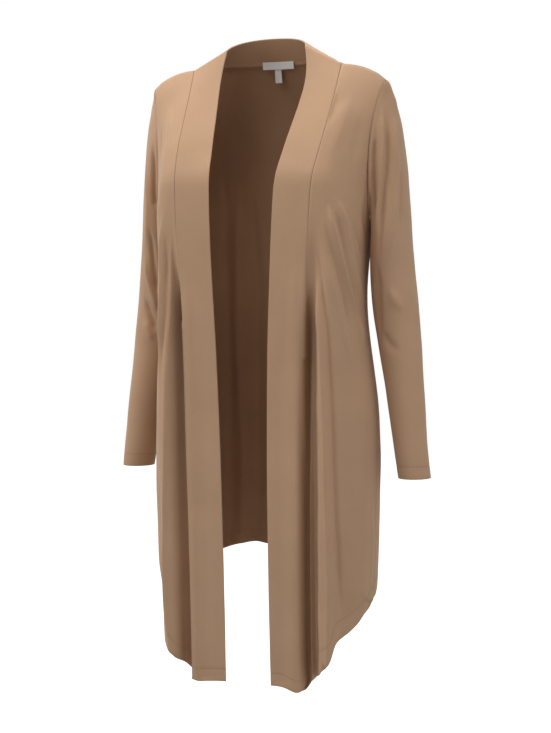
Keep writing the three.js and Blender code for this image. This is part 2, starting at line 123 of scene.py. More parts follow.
def finishMaterial(shade, inputs, height, bumpStrength, bumpDistance):
    bump = {"Height": height, "Strength": bumpStrength, "Distance": bumpDistance}
    normal = shade.node("ShaderNodeBump", {}, bump)
    surface = shade.node("ShaderNodeBsdfPrincipled", {}, {**inputs, "Normal": normal})
    output = shade.tree.nodes.new("ShaderNodeOutputMaterial")
    shade.tree.links.new(surface.socket, output.inputs["Surface"])


# The jersey: its outer face shows knit columns, its inner face the purl rows. The inner face's
# darker, warmer colour is painted shade for the dim inside of the garment.

jersey = {
    "colour": (0.53, 0.331, 0.203, 1),
    "shadowColour": (0.465, 0.285, 0.17, 1),
    # Painted shade: the inner face is a darker, warmer copy of the jersey's colour
    "insideShadedColour": (0.50, 0.285, 0.16, 1),
    "insideShadow": (0.43, 0.24, 0.13, 1),
    # The colour that the painted seam shade and the hem's stitched line darken towards
    "seamShadeColour": (0.26, 0.155, 0.09, 1),
    # Painted shade: the colour that the floors of the deep tucks darken towards
    "tuckShadeColour": (0.25, 0.135, 0.066, 1),
    "outerRib": 0.7,
    "innerRib": 0.25,
    "waleWidth": 0.9 * mm,
    "courseHeight": 0.75 * mm,
    "stitchLean": 1.4,
    "stitchDepth": 0.12 * mm,
    "stitchBump": 0.35,
    "yarnBump": 0.4,
    "yarnScale": 900.0,
    "toneScale": 14.0,
    "toneDetail": 3.0,
    "toneStops": (0.3, 0.7),
    "roughness": 0.86,
    "specular": 0.25,
    "sheen": 0.22,
    "sheenRoughness": 0.45,
    "sheenTint": (1.0, 0.86, 0.72, 1),
    # Widths and strengths of the painted shade along the seams and of the darker line along the hem's
    # stitching
    "seamShade": 0.7 * mm,
    "seamDark": 0.5,
    "hemLineShade": 0.9 * mm,
    "hemLineDark": 0.25,
    "hemDepth": 20 * mm,
}


def jerseyMaterial(name, light, dark, rib):
    material, shade = newMaterial(name)
    across, along = shade.cutPlace()

    # Columns of small V stitches; rib is how far the columns stand out over the rows
    column = shade.maths("SINE", across * (2 * math.pi / jersey["waleWidth"]))
    lean = shade.maths("ABSOLUTE", column) * jersey["stitchLean"]
    row = shade.maths("SINE", along * (2 * math.pi / jersey["courseHeight"]) + lean)
    knit = shade.maths("ABSOLUTE", column) * rib + row * (1 - rib)

    # Melange yarn and slow changes of tone
    yarn = shade.grain(jersey["yarnScale"])
    slow = shade.grain(jersey["toneScale"], jersey["toneDetail"])
    stops = list(zip(jersey["toneStops"], (dark, light)))
    cloth = shade.node("ShaderNodeValToRGB", {"stops": stops}, {0: yarn * 0.5 + slow * 0.5})

    # Painted shade: the colour darkens along the seams where two pieces meet, standing in for the
    # shadow in their shallow groove, and a faint darker line runs along the hem's stitching
    fromSeam = shade.kept("seamDistance") / jersey["seamShade"]
    nearSeam = shade.maths("SUBTRACT", 1.0, fromSeam, clamp=True)
    offLine = shade.maths("ABSOLUTE", shade.kept("hemDistance") - jersey["hemDepth"])
    nearLine = shade.maths("SUBTRACT", 1.0, offLine / jersey["hemLineShade"], clamp=True)
    seamShadeAndHemLine = nearSeam * jersey["seamDark"] + nearLine * jersey["hemLineDark"]
    colour = shade.mix(seamShadeAndHemLine, cloth, jersey["seamShadeColour"])
    # Painted shade: the floors of the deep tucks are darkened towards a shaded brown, standing in for
    # the shadow inside them
    colour = shade.mix(shade.kept("tuckDepth"), colour, jersey["tuckShadeColour"])
    inputs = {
        "Base Color": colour,
        "Roughness": jersey["roughness"],
        "Specular IOR Level": jersey["specular"],
        "Sheen Weight": jersey["sheen"],
        "Sheen Roughness": jersey["sheenRoughness"],
        "Sheen Tint": jersey["sheenTint"],
    }
    height = knit + yarn * jersey["yarnBump"]
    finishMaterial(shade, inputs, height, jersey["stitchBump"], jersey["stitchDepth"])
    return material


tape = {
    "colour": (0.78, 0.75, 0.70, 1),
    "darkColour": (0.55, 0.52, 0.48, 1),
    "darkShare": 0.06,
    "threadWidth": 0.5 * mm,
    "threadDepth": 0.05 * mm,
    "threadBump": 0.4,
    "roughness": 0.5,
    "sheen": 0.15,
}


def tapeMaterial():
    material, shade = newMaterial("labelTape")
    across, along = shade.cutPlace()
    turns = 2 * math.pi / tape["threadWidth"]
    warp = shade.maths("SINE", across * turns + along * turns)
    weft = shade.maths("SINE", along * (2 * turns))
    share = warp * tape["darkShare"] + tape["darkShare"]
    inputs = {
        "Base Color": shade.mix(share, tape["colour"], tape["darkColour"]),
        "Roughness": tape["roughness"],
        "Sheen Weight": tape["sheen"],
    }
    weave = warp * 0.6 + weft * 0.4
    finishMaterial(shade, inputs, weave, tape["threadBump"], tape["threadDepth"])
    return material


thread = {
    "colour": (0.40, 0.25, 0.155, 1),
    "labelColour": (0.7, 0.67, 0.62, 1),
    "darkColour": (0.2, 0.12, 0.07, 1),
    "darkShare": 0.4,
    "plyScale": 2500.0,
    "plyDepth": 0.05 * mm,
    "plyBump": 0.3,
    "roughness": 0.6,
    "sheen": 0.2,
}


def threadMaterial(name, colour):
    material, shade = newMaterial(name)
    ply = shade.grain(thread["plyScale"])
    inputs = {
        "Base Color": shade.mix(ply * thread["darkShare"], colour, thread["darkColour"]),
        "Roughness": thread["roughness"],
        "Sheen Weight": thread["sheen"],
    }
    finishMaterial(shade, inputs, ply, thread["plyBump"], thread["plyDepth"])
    return material


materials = {
    "jersey": jerseyMaterial(
        "jersey", jersey["colour"], jersey["shadowColour"], jersey["outerRib"]
    ),
    "inside": jerseyMaterial(
        "jerseyInsideShaded", jersey["insideShadedColour"], jersey["insideShadow"], jersey["innerRib"]
    ),
    "tape": tapeMaterial(),
    "thread": threadMaterial("sewingThread", thread["colour"]),
    "labelThread": threadMaterial("labelThread", thread["labelColour"]),
}
print("materials made")

# Making a cloth piece from its solid


def addObject(name, data):
    placed = bpy.data.objects.new(name, data)
    bpy.context.scene.collection.objects.link(placed)
    return placed


def smoothStep(value):
    value = np.clip(value, 0, 1)
    return value * value * (3 - 2 * value)


# The faces of each smooth part of a mesh: a wall has an outer skin, an inner skin and its rims.
# Faces with an edge shorter than rimWidth are rims.
def smoothParts(bm, sharpest, rimWidth):
    left = {face for face in bm.faces if min(e.calc_length() for e in face.edges) > rimWidth}
    parts = []
    while left:
        part = [left.pop()]
        for face in part:
            for edge in face.edges:
                if len(edge.link_faces) == 2 and edge.calc_face_angle() < sharpest:
                    for other in edge.link_faces:
                        if other in left:
                            left.remove(other)
                            part.append(other)
        parts.append(part)
    return sorted(parts, key=lambda part: -sum(face.calc_area() for face in part))


# The diagonal of each cell in a grid of triangles, row by row up from its lowest corner
def cellDiagonals(bm, columns):
    corner = min((vert for vert in bm.verts if vert.is_boundary), key=lambda vert: vert.co.z)
    starts = sorted(
        (edge.other_vert(corner) for edge in corner.link_edges if edge.is_boundary),
        key=lambda vert: vert.co.z,
    )
    row = boundaryWalk(corner, starts[0])[: columns + 1]
    side = boundaryWalk(corner, starts[1])
    joined = set()
    diagonals = []
    for first in side[1:]:
        above = [first]
        for a, b in zip(row, row[1:]):
            faces = [face for face in bm.edges.get((a, b)).link_faces if face not in joined]
            if not faces:
                return diagonals
            tip = next(vert for vert in faces[0].verts if vert not in (a, b))
            diagonal = bm.edges.get((b if tip is above[-1] else a, tip))
            other = next(face for face in diagonal.link_faces if face is not faces[0])
            if tip is above[-1]:
                above.append(next(vert for vert in other.verts if vert not in diagonal.verts))
            else:
                above.append(tip)
            joined.update((faces[0], other))
            diagonals.append(diagonal)
        row = above
    return diagonals


def boundaryWalk(first, second):
    walk = [first, second]
    while walk[-1] is not first:
        edges = [edge for edge in walk[-1].link_edges if edge.is_boundary]
        walk.append(next(v for e in edges for v in e.verts if v not in walk[-2:]))
    return walk


weldReach = 0.02 * mm


# The outer skin of a node's wall, as quads. It faces away from a line through middle, along Z.
def outerSkin(plan, middle):
    bm = bmesh.new()
    bm.from_mesh(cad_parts[plan["node"]].data)
    bmesh.ops.remove_doubles(bm, verts=bm.verts, dist=weldReach)
    sharpest = math.radians(plan.get("sharpest", 25))
    skins = smoothParts(bm, sharpest, plan.get("rim", 0) * mm)[:2]

    def facingOut(skin):
        total = 0
        for face in skin:
            away = face.calc_center_median() - middle
            total += face.calc_area() * face.normal.dot(Vector((away.x, away.y, 0)).normalized())
        return total

    outer = max(skins, key=facingOut)
    kept = set(outer)
    bmesh.ops.delete(bm, geom=[face for face in bm.faces if face not in kept], context="FACES")
    if "columns" in plan:
        diagonals = cellDiagonals(bm, plan["columns"])
        bmesh.ops.dissolve_edges(bm, edges=diagonals, use_verts=False)
        return bm
    bmesh.ops.join_triangles(
        bm,
        faces=bm.faces,
        angle_face_threshold=math.pi,
        angle_shape_threshold=math.pi,
        topology_influence=2,
    )
    return bm


# The boundary of a skin as runs of points between its corners. A tube has two runs without corners.
def edgeRuns(bm):
    bm.verts.ensure_lookup_table()
    boundary = [edge for edge in bm.edges if edge.is_boundary]
    left = set(boundary)
    runs = []
    while left:
        corners = [
            vert
            for edge in left
            for vert in edge.verts
            if len([e for e in vert.link_edges if e in left]) == 1 or isCorner(vert)
        ]
        vert = corners[0] if corners else next(iter(left)).verts[0]
        run = [vert]
        while True:
            onward = [edge for edge in vert.link_edges if edge in left]
            if not onward:
                break
            edge = onward[0]
            left.remove(edge)
            vert = edge.other_vert(vert)
            run.append(vert)
            if isCorner(vert):
                break
        runs.append([vert.co.copy() for vert in run])
    return runs


def isCorner(vert):
    return len(vert.link_faces) == 1 and len(vert.link_edges) == 2


def meanOf(run, axis):
    return sum(point[axis] for point in run) / len(run)


def flatPlaces(mesh):
    loops = mesh.uv_layers[0].data
    flat = np.empty(len(loops) * 2)
    loops.foreach_get("uv", flat)
    return flat.reshape(-1, 2)


# The cut piece laid flat, with its up direction along V
def layFlat(piece):
    bpy.context.view_layer.objects.active = piece
    piece.select_set(True)
    bpy.ops.object.mode_set(mode="EDIT")
    bpy.ops.mesh.select_all(action="SELECT")
    bpy.ops.uv.unwrap(method="CONFORMAL", margin=0)
    bpy.ops.object.mode_set(mode="OBJECT")
    piece.select_set(False)
    mesh = piece.data
    flat = flatPlaces(mesh)
    heights = np.array([mesh.vertices[loop.vertex_index].co.z for loop in mesh.loops])
    flat -= flat.mean(axis=0)
    up = np.linalg.lstsq(flat, heights - heights.mean(), rcond=None)[0]
    up /= np.linalg.norm(up)
    turned = np.stack([flat @ np.array([up[1], -up[0]]), flat @ up], axis=1)
    mesh.uv_layers[0].data.foreach_set("uv", turned.ravel())
    mesh.uv_layers[0].name = "cut"


# Brings the flat piece to real size, in metres, and returns its width, length and area
def fitFlat(mesh):
    flat = flatPlaces(mesh)
    corners = flat.reshape(-1, 4, 2)
    following = np.roll(corners, -1, axis=1)
    turns = corners[..., 0] * following[..., 1] - corners[..., 1] * following[..., 0]
    area = sum(face.area for face in mesh.polygons)
    flat *= math.sqrt(area / (abs(turns.sum(axis=1)).sum() / 2))
    mesh.uv_layers[0].data.foreach_set("uv", flat.ravel())
    width, length = np.ptp(flat, axis=0)
    return float(width), float(length), area


# A tube is cut along the column of edges that faces the body, down from its armhole
armholeLowest = -400 * mm
seamStep = 8 * mm


def seamDown(bm):
    tops = [vert for vert in bm.verts if vert.is_boundary and vert.co.z > armholeLowest]
    vert = min(tops, key=lambda vert: vert.co.z)
    while True:
        lower = [e for e in vert.link_edges if e.other_vert(vert).co.z < vert.co.z - seamStep]
        if not lower:
            return
        edge = min(lower, key=lambda e: abs(e.other_vert(vert).co.x))
        edge.seam = True
        vert = edge.other_vert(vert)


def subdivided(piece, levels):
    made = piece.modifiers.new("smooth", "SUBSURF")
    made.levels = levels
    made.render_levels = levels
    made.boundary_smooth = "PRESERVE_CORNERS"
    made.uv_smooth = "PRESERVE_BOUNDARIES"
    shown = piece.evaluated_get(bpy.context.evaluated_depsgraph_get())
    fine = bpy.data.meshes.new_from_object(shown)
    piece.modifiers.clear()
    piece.data = fine


def vertexArray(mesh, field):
    values = np.empty(len(mesh.vertices) * 3)
    mesh.vertices.foreach_get(field, values)
    return values.reshape(-1, 3)


def keptValues(mesh, attribute):
    values = np.empty(len(mesh.vertices))
    mesh.attributes[attribute].data.foreach_get("value", values)
    return values


farAway = 1.0


def distanceTo(places, points):
    if not points:
        return np.full(len(places), farAway)
    tree = KDTree(len(points))
    for i, point in enumerate(points):
        tree.insert(point, i)
    tree.balance()
    return np.array([tree.find(place)[2] for place in places])


edgeSteps = 12


# The fine boundary points that lie nearest to the runs of the coarse boundary with one label
def boundaryPoints(mesh, runs, wanted):
    tree = KDTree(sum(len(run) * edgeSteps for _, run in runs))
    labels = []
    for label, run in runs:
        for a, b in zip(run, run[1:]):
            for step in range(edgeSteps):
                tree.insert(a.lerp(b, step / edgeSteps), len(labels))
                labels.append(label)
    tree.balance()
    bm = bmesh.new()
    bm.from_mesh(mesh)
    points = [vert.co.copy() for vert in bm.verts if vert.is_boundary]
    bm.free()
    return [point for point in points if labels[tree.find(point)[1]] == wanted]


# Creases and folds

rays = {
    "front": (Vector((0, -1, 0)), Vector((0, 1, 0))),
    "back": (Vector((0, 1, 0)), Vector((0, -1, 0))),
}
rayStart = 400 * mm
lineSteps = 6


# A crease is a row of places in mm. An (x, z) place is seen from the front or the back and
# laid on the cloth; an (x, y, z) place goes to the nearest cloth.
def creasePath(along, surface, seen):
    offset, direction = rays[seen]
    points = []
    for place in along:
        if len(place) == 3:
            points.append(surface.find_nearest(Vector(place) * mm)[0])
            continue
        start = Vector((place[0] * mm, 0, place[1] * mm)) + offset * rayStart
        hit = surface.ray_cast(start, direction)[0]
        if hit is None:
            hit = surface.find_nearest(start)[0]
        points.append(hit)
    return np.array(smoothLine(points))


def smoothLine(points):
    padded = [points[0] * 2 - points[1], *points, points[-1] * 2 - points[-2]]
    line = []
    for i in range(1, len(padded) - 2):
        before, a, b, after = padded[i - 1 : i + 3]
        straight = b - before
        bend = 2 * before - 5 * a + 4 * b - after
        twist = 3 * a - before - 3 * b + after
        for step in range(lineSteps):
            t = step / lineSteps
            line.append(0.5 * (2 * a + straight * t + bend * t**2 + twist * t**3))
    line.append(points[-1])
    return line


# A crease narrows to this share of its width where it fades out
tipShare = 0.45
shortestFade = 0.001


# How near each place is to a path: 1 on it, less to its two sides, and faded at its ends
def nearness(places, normals, path, plan):
    weights = np.zeros(len(places))
    left, right = np.array(plan["widths"]) * mm
    reach = 3 * max(left, right)
    low = path.min(axis=0) - reach
    high = path.max(axis=0) + reach
    near = np.flatnonzero(np.all((places > low) & (places < high), axis=1))
    if not len(near):
        return weights
    # The nearest spot on the path's segments
    steps = path[1:] - path[:-1]
    spans = (steps**2).sum(axis=1)
    offsets = places[near][:, None] - path[None, :-1]
    shares = np.clip((offsets * steps).sum(axis=2) / spans, 0, 1)
    squares = ((offsets - shares[..., None] * steps) ** 2).sum(axis=2)
    nearest = squares.argmin(axis=1)
    rows = np.arange(len(near))
    distance = np.sqrt(squares[rows, nearest])
    share = shares[rows, nearest]
    offset = offsets[rows, nearest] - share[:, None] * steps[nearest]
    turned = (np.cross(steps[nearest], normals[near]) * offset).sum(axis=1)
    along = (nearest + share) / len(steps)
    fadeIn, fadeOut = (max(fade, shortestFade) for fade in plan.get("fades", (0.4, 0.4)))
    fade = smoothStep(along / fadeIn) * smoothStep((1 - along) / fadeOut)
    width = np.where(turned > 0, right, left) * (tipShare + (1 - tipShare) * fade)
    if plan.get("crisp"):
        tip = plan["crisp"] * mm
        profile = np.exp(-(np.sqrt(distance**2 + tip**2) - tip) / width)
    else:
        profile = np.exp(-((distance / width) ** 2))
    weights[near] = profile * fade
    return weights


# A fold moves the pieces on both sides of a seam alike, by its own move in mm, so the seam
# stays closed
def foldShift(places, folds):
    shift = np.zeros_like(places)
    for fold in folds:
        path = np.array(smoothLine([Vector(place) * mm for place in fold["along"]]))
        move = np.array(fold["move"], dtype=float) * mm
        facing = np.broadcast_to(-move / np.linalg.norm(move), places.shape)
        shift += nearness(places, facing, path, fold)[:, None] * move
    return shift


hemPasses = 12


# Evens out the line of points along the hem, and leaves its ends
def evenHem(mesh, places, onHem):
    ends = np.empty(len(mesh.edges) * 2, dtype=int)
    mesh.edges.foreach_get("vertices", ends)
    ends = ends.reshape(-1, 2)
    ends = ends[onHem[ends].all(axis=1)]
    joined = np.bincount(ends.ravel(), minlength=len(places))
    inner = joined == 2
    for _ in range(hemPasses):
        total = np.zeros_like(places)
        np.add.at(total, ends[:, 0], places[ends[:, 1]])
        np.add.at(total, ends[:, 1], places[ends[:, 0]])
        places[inner] = places[inner] / 2 + total[inner] / 4


def softWaves(places, size, height, seed):
    shift = Vector((seed * 7.3, seed * 3.1, seed * 5.7))
    return np.array([noise.noise(Vector(place) / size + shift) for place in places]) * height


# One cloth piece

seamDip = {"depth": 0.45 * mm, "width": 1.7 * mm}
hemDip = {"depth": 0.35 * mm, "width": 1.4 * mm}
waveSize = 60 * mm
hemReach = 90 * mm
onHem = 0.1 * mm
seamDropReach = 6 * mm
# Folds that go in deeper than this in mm are tucks, and their tuckDepth, which sets how much painted
# shade their floors get, is 1 at fullTuck
tuckFrom = 10
fullTuck = 20 * mm
hemThickness = 2.1
rounding = {"share": 0.4, "segments": 2, "sharpest": math.radians(58)}


# The skin of a node, laid flat and divided finely, with its coarse surface and labelled edges
def cutPiece(name, plan):
    low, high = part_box(plan["node"])
    bm = outerSkin(plan, (low + high) / 2 if plan.get("tube") else Vector())
    strays = [face for face in bm.faces if len(face.verts) != 4]
    runs = edgeRuns(bm)
    lowest = min(runs, key=lambda run: meanOf(run, 2)) if plan.get("hem", True) else None
    free = plan["freeEdge"](runs) if "freeEdge" in plan else None
    labelled = []
    for run in runs:
        label = "free" if run is free else "hem" if run is lowest else "seam"
        labelled.append((label, run))
    if plan.get("tube"):
        seamDown(bm)
    mesh = bpy.data.meshes.new(name)
    bm.to_mesh(mesh)
    surface = BVHTree.FromBMesh(bm)
    bm.free()
    piece = addObject(name, mesh)
    layFlat(piece)
    subdivided(piece, plan["levels"])
    print(name, "cut,", len(strays), "faces are not quads")
    return piece, surface, labelled


# Creases and dips go along the cloth's normal; folds and the hem's line move it as a whole
def bendCloth(mesh, plan, surface, labelled):
    places = vertexArray(mesh, "co")
    normals = vertexArray(mesh, "normal")
    seamDistance = distanceTo(places, boundaryPoints(mesh, labelled, "seam"))
    hemDistance = distanceTo(places, boundaryPoints(mesh, labelled, "hem"))

    heights = np.zeros(len(places))
    for line in plan.get("creases", []):
        path = creasePath(line["along"], surface, plan.get("seen", "front"))
        heights += line["height"] * mm * nearness(places, normals, path, line)
    heights += softWaves(places, waveSize, plan.get("waves", 0.8) * mm, plan["seed"])
    heights *= smoothStep(seamDistance / (plan.get("seamHold", 9) * mm))
    heights -= seamDip["depth"] * np.exp(-((seamDistance / seamDip["width"]) ** 2))
    offLine = (hemDistance - jersey["hemDepth"]) / hemDip["width"]
    heights -= hemDip["depth"] * np.exp(-(offLine**2))

    folds = plan.get("folds", [])
    shift = foldShift(places, folds)
    tucks = [fold for fold in folds if fold["move"][1] > tuckFrom]
    tuckDepth = foldShift(places, tucks)[:, 1] / fullTuck
    if "hemShape" in plan:
        across, lift = np.array(plan["hemShape"]).T * mm
        fade = smoothStep(1 - hemDistance / hemReach)
        shift[:, 2] += np.interp(places[:, 0], across, lift) * fade
    drop = plan.get("seamDrop", 0) * mm
    shift[:, 2] -= drop * smoothStep(1 - seamDistance / seamDropReach)
    places = places + normals * heights[:, None] + shift
    evenHem(mesh, places, hemDistance < onHem)
    mesh.vertices.foreach_set("co", places.ravel())
    mesh.update()

    kept = {"seamDistance": seamDistance, "hemDistance": hemDistance, "tuckDepth": tuckDepth}
    for attribute, values in kept.items():
        mesh.attributes.new(attribute, "FLOAT", "POINT").data.foreach_set("value", values)


# The cloth's thickness, which is greater over the turned hem, and its rounded edges
def thickenCloth(piece, plan):
    wall = piece.modifiers.new("thickness", "SOLIDIFY")
    wall.thickness = plan["thickness"] * mm
    wall.offset = -1
    wall.material_offset = 1
    if plan.get("hem", True) and plan["thickness"] < hemThickness:
        inHem = np.flatnonzero(keptValues(piece.data, "hemDistance") < jersey["hemDepth"])
        turned = piece.vertex_groups.new(name="hemTurn")
        turned.add([int(i) for i in inHem], 1, "REPLACE")
        wall.vertex_group = "hemTurn"
        wall.thickness_vertex_group = plan["thickness"] / hemThickness
        wall.thickness = hemThickness * mm
    rounded = piece.modifiers.new("roundedEdges", "BEVEL")
    rounded.width = plan["thickness"] * rounding["share"] * mm
    rounded.segments = rounding["segments"]
    rounded.limit_method = "ANGLE"
    rounded.angle_limit = rounding["sharpest"]
    rounded.use_clamp_overlap = True


def makeCloth(name, plan):
    piece, surface, labelled = cutPiece(name, plan)
    mesh = piece.data
    bendCloth(mesh, plan, surface, labelled)
    mesh.materials.clear()
    for face in plan.get("materials", ("jersey", "inside")):
        mesh.materials.append(materials[face])
    mesh.shade_smooth()
    width, length, area = fitFlat(mesh)
    thickenCloth(piece, plan)

    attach(piece, "root")
    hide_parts(plan["node"])
    size = f"flat {width:.3f} by {length:.3f} m, {area:.4f} square metres"
    print(name, len(mesh.polygons), "faces,", size)
    return piece


# The garment's pieces. The band's outer edge curls back into a deep tuck in the front beside it.


# Widths are those of its left and right side; a crisp crease has a sharp top of this radius
def crease(along, widths, height, crisp=0, fades=(0.4, 0.4)):
    return {"along": along, "widths": widths, "height": height, "crisp": crisp, "fades": fades}


def mirrored(plan):
    other = {**plan, "along": [(-x, y, z) for x, y, z in plan["along"]]}
    other["widths"] = plan["widths"][::-1]
    if "move" in plan:
        x, y, z = plan["move"]
        other["move"] = (-x, y, z)
    return other


leftBust = {
    "along": [(40, -84, -172), (75, -95, -172), (112, -92, -176), (140, -84, -184), (160, -62, -196)],
    "widths": (27, 22), "fades": (0, 0.4), "move": (0, -2.6, 0),
}
bustBreak = [leftBust, mirrored(leftBust)]
leftTuck = [
    {"along": [(103, -94, -270), (99, -91, -348), (96, -88, -409), (93, -87, -531),
               (93, -88, -669), (93, -86, -824), (94, -84, -990)],
     "widths": (13, 3.5), "fades": (0.42, 0), "move": (-1, 20, 0)},
    {"along": [(105, -94, -270), (99, -88, -409), (97, -88, -669), (98, -84, -990)],
     "widths": (16, 14), "fades": (0.3, 0), "move": (2.2, 0, 0)},
    {"along": [(93, -86, -975), (104, -84, -975)],
     "widths": (14, 12), "fades": (0, 0), "move": (0, 0, 6)},
]
rightTuck = [
    {"along": [(-105, -94, -270), (-104, -91, -348), (-104, -89, -409), (-103, -88, -531),
               (-103, -88, -669), (-103, -87, -824), (-104, -85, -990)],
     "widths": (3.5, 10), "fades": (0.3, 0), "move": (1, 23, 0)},
]
# At the left side the hem hangs lower and stands out a little, and the right side is drawn in
sideDrops = [
    {"along": [(173, -38, -853), (176, -20, -835), (178, -4, -818), (177, 14, -812),
               (174, 30, -811)],
     "widths": (34, 34), "fades": (0.5, 0.5), "move": (0, 0, -17)},
    {"along": [(-179, -4, -770), (-176, -24, -825), (-168, -45, -865), (-156, -60, -888)],
     "widths": (30, 30), "move": (6, 0, 0)},
    {"along": [(178, -14, -690), (178, -10, -760), (178, -8, -815)],
     "widths": (40, 40), "fades": (0.4, 0), "move": (2.5, 0, 0)},
]
leftTip = {
    "along": [(186, 2, -21), (199, -2, -26)],
    "widths": (9, 9), "fades": (0.4, 0), "move": (0.6, 0, -1.4),
}
shoulderTips = [leftTip, mirrored(leftTip)]
# The tops of the sleeves come up to the tips of the shoulders
leftCap = {
    "along": [(190, -18, -52), (196, -8, -38), (197, 4, -33), (197, 16, -37), (191, 28, -50)],
    "widths": (13, 13), "move": (2.6, -1, 4.2),
}
sleeveCaps = [leftCap, mirrored(leftCap)]

# Levels are steps of smoothing; thickness, heights, widths and moves are in mm
panel = {"levels": 3, "thickness": 1.2}
front = {**panel, "columns": 18, "seamHold": 5, "hangsFrom": ["back_cloth"]}
leftFront = {
    **front,
    "node": "left_front",
    "seed": 1,
    "folds": [*leftTuck, *bustBreak, *shoulderTips, *sideDrops],
    "hemShape": [(99, 15), (103, 17), (107, 15.5), (112, 12), (117, 8.5), (123, 8), (129, 4),
                 (134, 2.5), (138, 3.5), (141, 9), (144, 18), (148, 14), (152, 9.5), (159, 4),
                 (165, 1.5), (171, -1.5), (176, -2)],
    "creases": [
        crease([(137, -90, -217), (141, -87, -243), (147, -82, -273), (152, -74, -303),
                (157, -65, -333), (160, -53, -364), (164, -36, -394), (168, -24, -426),
                (171, -14, -448)], (4, 4), 8, crisp=0.6, fades=(0.15, 0.2)),
        crease([(134, -90, -243), (138, -88, -273), (144, -84, -303), (150, -76, -333),
                (154, -67, -363), (158, -59, -394), (165, -46, -425)],
               (4, 4), -3.5, fades=(0.3, 0.3)),
        crease([(146, -84, -225), (148, -81, -243), (154, -74, -273), (158, -64, -303),
                (161, -49, -333), (161, -29, -364), (163, -20, -389)],
               (5, 4.5), -4.5, fades=(0.25, 0.3)),
        crease([(150, -78, -209), (153, -74, -227), (158, -64, -257), (160, -53, -288),
                (161, -38, -318), (161, -16, -349), (161, 2, -377)],
               (4.5, 5), 5, crisp=1.2, fades=(0.25, 0.25)),
        crease([(162, -54, -235), (163, -43, -257), (164, -24, -280), (163, -7, -310)], (6, 6), -3),
        crease([(127, -92, -267), (134, -91, -303), (141, -88, -333), (147, -81, -363),
                (151, -74, -394), (156, -67, -424), (162, -60, -455), (166, -55, -493)],
               (6, 5), 5.5, crisp=1.5, fades=(0.3, 0.35)),
        crease([(118, -91, -273), (123, -91, -303), (129, -93, -348), (133, -93, -378),
                (138, -92, -423), (141, -90, -484), (144, -87, -560), (147, -81, -675),
                (149, -75, -752), (151, -68, -869)], (5, 7), -6, fades=(0.3, 0.1)),
        crease([(118, -88, -325), (121, -90, -363), (126, -93, -424), (129, -93, -484),
                (132, -92, -560), (133, -91, -636), (135, -90, -713), (136, -88, -790),
                (138, -85, -930)], (6, 4), 7, crisp=1, fades=(0.2, 0)),
        crease([(154, -29, -47), (149, -43, -75), (143, -63, -114), (136, -79, -149)], (10, 12), 2.4),
        crease([(134, -32, -40), (131, -49, -72), (126, -66, -103)], (8, 8), -2),
        crease([(170, -33, -75), (168, -45, -121), (161, -59, -164)], (10, 10), -2.5),
        crease([(174, -26, -196), (170, -22, -234), (165, 0, -279)], (6, 6), -2.5),
        crease([(182, -13, -658), (180, -16, -720), (179, -17, -759), (178, -17, -799)],
               (5, 5), 3, crisp=2, fades=(0.4, 0.2)),
    ],
}
rightFront = {
    **front,
    "node": "right_front",
    "seed": 2,
    "folds": [*rightTuck, *bustBreak, *shoulderTips, *sideDrops],
    "hemShape": [(-160, 0), (-147, 10), (-140, 17), (-132, 19), (-123, 14.5), (-115, 10.6),
                 (-108, 5), (-102, 1), (-97, 0)],
    "creases": [
        crease([(-136, -99, -225), (-138, -98, -265), (-138, -99, -310), (-138, -100, -350),
                (-141, -98, -400), (-145, -96, -450), (-150, -90, -520)],
               (4.5, 4), 6, crisp=1.2, fades=(0.25, 0.35)),
        crease([(-131, -101, -248), (-129, -100, -315), (-131, -101, -349), (-132, -101, -388),
                (-136, -100, -435), (-140, -98, -491)], (3.5, 3.5), -4.5, fades=(0.25, 0.35)),
        crease([(-120, -103, -248), (-122, -98, -295), (-125, -97, -342), (-127, -98, -388),
                (-129, -100, -435), (-132, -99, -490), (-134, -98, -585), (-137, -94, -712),
                (-137, -90, -841), (-134, -90, -950)], (5.5, 4.5), 6.5, crisp=1.2, fades=(0.2, 0)),
        crease([(-156, -29, -48), (-143, -66, -114), (-135, -96, -186)], (8, 8), 2.5),
        crease([(-166, -37, -79), (-164, -53, -128), (-157, -70, -169)], (5, 5), -2.5),
        crease([(-158, -62, -235), (-158, -60, -280), (-155, -70, -330)], (5, 5), 3, crisp=2),
        crease([(-164, -30, -240), (-163, -36, -290), (-160, -52, -340), (-154, -72, -390)],
               (6, 6), -3.5, fades=(0.35, 0.4)),
        crease([(-168, -20, -270), (-168, -24, -320), (-166, -40, -370), (-160, -60, -420)],
               (5, 5), 3.5, crisp=2, fades=(0.35, 0.4)),
        crease([(-156, -84, -480), (-158, -78, -600), (-156, -72, -720), (-150, -70, -840)],
               (9, 9), -3, fades=(0.4, 0.1)),
        crease([(-176, -24, -520), (-178, -18, -640), (-176, -16, -780)],
               (7, 7), 3, crisp=2, fades=(0.4, 0.2)),
    ],
}
